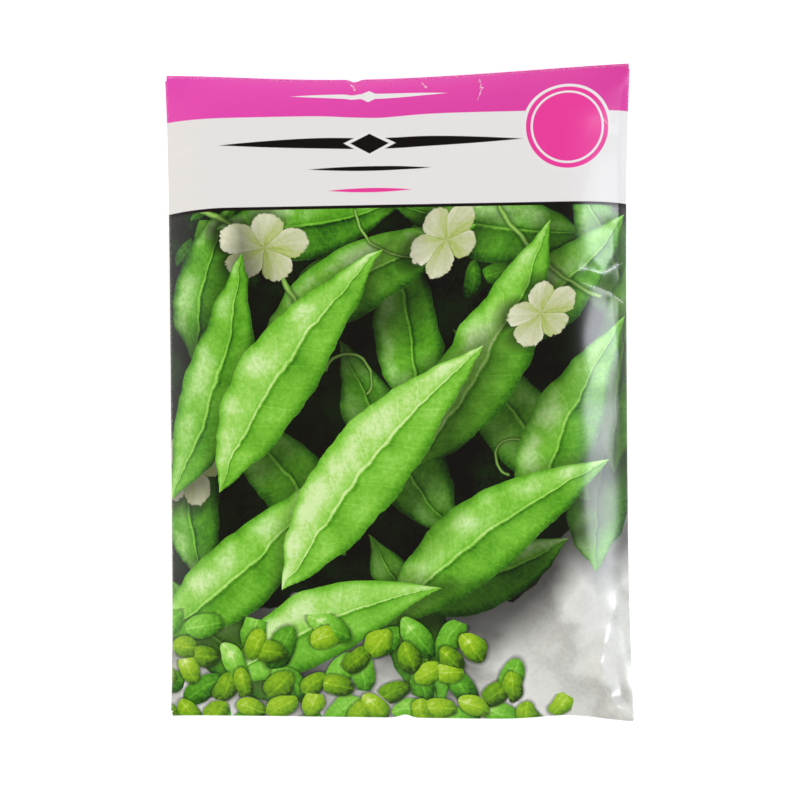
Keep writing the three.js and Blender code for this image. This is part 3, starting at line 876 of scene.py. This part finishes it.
# Hard folds that have broken the coating: where each line starts and ends, and half its width.
CRACKS = [
    ((-7.8, 56.8), (-6.7, 54.9), 0.16),
    ((4.9, 56.2), (5.8, 54.4), 0.13),
    ((14.9, 56.4), (15.6, 53.7), 0.14),
    ((15.6, 53.7), (14.8, 51.4), 0.12),
    ((-40.6, 43.3), (-36.2, 43.8), 0.13),
    ((36.6, 48.0), (40.2, 43.2), 0.09),
    ((32.0, 21.9), (36.9, 20.8), 0.06),
    ((36.9, 20.8), (40.6, 22.8), 0.06),
    ((33.0, 19.2), (38.2, 17.4), 0.05),
    ((38.2, 17.4), (40.7, 15.7), 0.08),
    ((36.0, -50.2), (38.0, -55.0), 0.06),
    ((38.0, -55.0), (40.8, -56.8), 0.08),
]


def cracks(r, here, fine):
    """Thin pale lines along the hard folds, each a stretched and turned square, broken up by the noise."""
    worn = 0.0
    for (x0, y0), (x1, y1), width in CRACKS:
        middle, turn = ((x0 + x1) / 2, (y0 + y1) / 2), math.degrees(math.atan2(y1 - y0, x1 - x0))
        a, b = r.local(here, middle, turn, (math.hypot(x1 - x0, y1 - y0) / 2, width))
        line = abs(a).step(1.05, 0.9) * abs(b).step(1.0, 0.3)
        worn = line.math("MAXIMUM", worn)
    return worn * fine.step(0.36, 0.50) * 0.85


def fold_wear(r, x, y, fine):
    """Specks rubbed white along the outside of the top fold and the side creases."""
    top = abs(y - HALF_H - 0.15).step(0.45, 0.1)
    sides = abs(abs(x) - HALF_W - 0.1).step(0.4, 0.1)
    return top.math("MAXIMUM", sides) * fine.step(0.57, 0.66) * 0.7


def printed_paper():
    """The sheet's outside: picture, rule and header, worn along the folds, and bare past the bleed."""
    r = Recipe("printed_coated_paper")
    uv = r.node("ShaderNodeUVMap", {"uv_map": "Print"})
    here = r.vector("MULTIPLY_ADD", uv, (UV_SCALE, UV_SCALE, 0.0), (0.0, 0.0, 1.0))
    x, y, _ = r.split(here)
    grain = r.noise(here, 1.3, 4.0, 0.68, "2D")
    fine = r.noise(here, 5.0, 2.0, 0.5, "2D")
    picture = picture_of_leaves(r, here, x, y, grain)
    rule_foot = TITLE_FOOT - RULE
    front = r.mix(picture, BLACK, y.share(rule_foot - RULE_SOFT, rule_foot + RULE_SOFT))
    head = header(r, x, y, fine)
    front = r.mix(front, head, y.share(TITLE_FOOT - RULE_SOFT, TITLE_FOOT + RULE_SOFT))
    wavy = r.vector("ADD", here, r.join(grain.line(1.4, -0.7), fine.line(0.7, -0.35)))
    worn = cracks(r, wavy, fine).math("MAXIMUM", fold_wear(r, x, y, fine))
    front = r.mix(front, WORN_WHITE, worn)
    side_end, foot_end = HALF_W + SIDE_BLEED, -HALF_H - SIDE_BLEED
    bleed = abs(x).step(side_end + BLEED_EDGE, side_end)
    foot = y.step(foot_end - BLEED_EDGE, foot_end)
    colour = r.mix(WHITE_PAPER, front, bleed * foot)
    weave = r.noise(here, 1.1, 3.0, 0.6, "2D")
    roughness = weave.line(0.10, 0.30) + worn * 0.3
    varnish = r.blend(COAT_ON_PICTURE, COAT_ON_HEADER, y.share(TITLE_FOOT - 1, TITLE_FOOT))
    gloss = {"Specular_IOR_Level": 0.12, "Coat_Weight": varnish, "Coat_Roughness": 0.22}
    return r.finish(colour, roughness, weave, bump=0.012, **gloss)


# ---- the other finishes ----


def bare_paper():
    """The sheet's uncoated inside and its cut edges: off-white, mottled by its fibres."""
    r = Recipe("uncoated_paper_back")
    fibre = r.noise(r.place_on_piece(), 4000.0, 4.0, 0.7)
    colour = r.mix(ink("D9D5CC"), ink("EFEDE6"), fibre)
    return r.finish(colour, fibre * 0.15 + 0.75, fibre, bump=0.01)


def dried_glue():
    """A cloudy yellowish film."""
    r = Recipe("dried_glue_film")
    clot = r.noise(r.place_on_piece(), 900.0, 3.0)
    return r.finish(r.mix(ink("B9AE86"), ink("E2DBC0"), clot), clot * 0.2 + 0.3, clot, bump=0.03)


def dried_pea():
    """A seed's skin: blotched from olive to straw, and finely pitted."""
    r = Recipe("dried_pea_skin")
    at = r.place_on_piece()
    blotch = r.noise(at, 350.0, 3.0, 0.6)
    pits = r.noise(at, 2200.0, 3.0, 0.6)
    tone = blotch * 0.7 + pits * 0.3
    colour = r.ramp(tone, [(0.3, ink("7C7A3E")), (0.5, ink("A8A766")), (0.75, ink("CFC893"))])
    return r.finish(colour, pits * 0.2 + 0.5, pits, bump=0.12)


# ---- camera, floor and light ----

CAMERA_TARGET = Vector((0.44, -0.96, 4.0)) * MM
CAMERA_DISTANCE, CAMERA_LENS = 0.400, 102.0  # metres, and millimetres on a sensor 36 mm wide
CAMERA_RIGHT, CAMERA_UP, CAMERA_ROLL = math.radians(7.81), math.radians(0.69), math.radians(0.477)

FLOOR_HALF, FLOOR_DROP = 1500.0, 0.02  # millimetres: half its side, and its gap below the packet
FLOOR_GREY, FLOOR_GLOW = 0.9, 0.45
# Lamps: place and size in metres, watts, colour, and whether it is only seen mirrored in gloss.
LAMPS = {
    "window": ((0.735, 0.01, 0.762), (0.31, 0.61), 7.6, (0.90, 0.94, 1.0), True),
    "cool_fill": ((0.60, 0.15, 1.05), (1.0, 1.0), 6.5, (0.91, 0.95, 1.0), False),
    "warm_fill": ((-0.90, 0.10, 0.85), (1.0, 1.0), 4.4, (1.0, 0.87, 0.64), False),
    "head_fill": ((0.0, 0.80, 1.15), (1.6, 1.0), 1.7, (0.99, 0.99, 1.0), False),
    "foot_fill": ((0.0, -0.80, 1.15), (1.6, 1.0), 2.7, (0.99, 0.99, 1.0), False),
}


def camera():
    """Looks down on the packet from a little to its right."""
    level = math.cos(CAMERA_RIGHT)
    back = Vector((math.sin(CAMERA_RIGHT), math.sin(CAMERA_UP) * level, math.cos(CAMERA_UP) * level))
    right = Vector((math.sin(CAMERA_ROLL), math.cos(CAMERA_ROLL), 0)).cross(back).normalized()
    up = back.cross(right)
    data = bpy.data.cameras.new("camera")
    data.lens, data.sensor_width = CAMERA_LENS, 36.0
    data.clip_start, data.clip_end = 0.01, 20.0
    obj = bpy.data.objects.new("camera", data)
    turned = Matrix((right, up, back)).transposed().to_4x4()
    obj.matrix_world = Matrix.Translation(CAMERA_TARGET + back * CAMERA_DISTANCE) @ turned
    bpy.context.scene.collection.objects.link(obj)
    bpy.context.scene.camera = obj


def area_light(name, at, size, power, colour, mirrored):
    """A rectangular lamp at a place, facing the packet's middle. A mirrored one gives only gloss its
    shine, and any other only lights."""
    data = bpy.data.lights.new(name, "AREA")
    data.shape, data.size, data.size_y = "RECTANGLE", *size
    data.energy, data.color = power, colour
    obj = bpy.data.objects.new(name, data)
    obj.location = at
    obj.rotation_mode = "QUATERNION"
    obj.rotation_quaternion = Vector(at).to_track_quat("Z", "Y")
    obj.visible_glossy, obj.visible_diffuse = mirrored, not mirrored
    bpy.context.scene.collection.objects.link(obj)


def sky():
    """Even studio light: pale at the horizon and dim overhead, so that the flat front mirrors little."""
    world = bpy.data.worlds.new("sky")
    bpy.context.scene.world = world
    world.use_nodes = True
    nodes, links = world.node_tree.nodes, world.node_tree.links
    height = nodes.new("ShaderNodeSeparateXYZ")
    links.new(nodes.new("ShaderNodeTexCoord").outputs["Generated"], height.inputs[0])
    ramp = nodes.new("ShaderNodeValToRGB")
    Recipe.set_stops(ramp.color_ramp, [(0.35, (0.85, 0.85, 0.85, 1)), (0.85, (0.10, 0.10, 0.10, 1))])
    links.new(height.outputs["Z"], ramp.inputs[0])
    links.new(ramp.outputs[0], nodes["Background"].inputs["Color"])


def floor():
    """A large pale square that glows a little, so that it stays white in every view."""
    r = Recipe("white_floor")
    values = {"Base Color": (FLOOR_GREY, FLOOR_GREY, FLOOR_GREY, 1), "Roughness": 0.9}
    values.update({"Emission Color": (1, 1, 1, 1), "Emission Strength": FLOOR_GLOW})
    r.node("ShaderNodeOutputMaterial", {}, {"Surface": r.node("ShaderNodeBsdfPrincipled", {}, values)})
    ways = [(-1, -1), (1, -1), (1, 1), (-1, 1)]
    mesh = bpy.data.meshes.new("floor")
    corners = [(x * FLOOR_HALF * MM, y * FLOOR_HALF * MM, -FLOOR_DROP * MM) for x, y in ways]
    mesh.from_pydata(corners, [], [(0, 1, 2, 3)])
    mesh.materials.append(r.material)
    return add_object("floor", mesh)


def stage():
    """The floor, the sky, a window mirrored at the right, and soft fills from all four sides."""
    floor()
    sky()
    for name, lamp in LAMPS.items():
        area_light(name, *lamp)
    bpy.context.scene.view_settings.view_transform = "Standard"


# ---- the dressed packet ----

camera()
stage()

sheet = paper_sheet(printed_paper(), bare_paper())
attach(sheet, "root")
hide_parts("paper_envelope")

glue = dried_glue()
for node in ("back_seam_glue", "bottom_flap_glue", "top_flap_glue"):
    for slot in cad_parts[node].material_slots:
        slot.material = glue

pea_skin = dried_pea()
for number in range(1, SEED_COLUMNS * SEED_ROWS + 1):
    node = f"pea_seed_{number:02d}"
    fine_seed = seed(node, number, pea_skin)
    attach(fine_seed, "root")
    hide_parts(node)
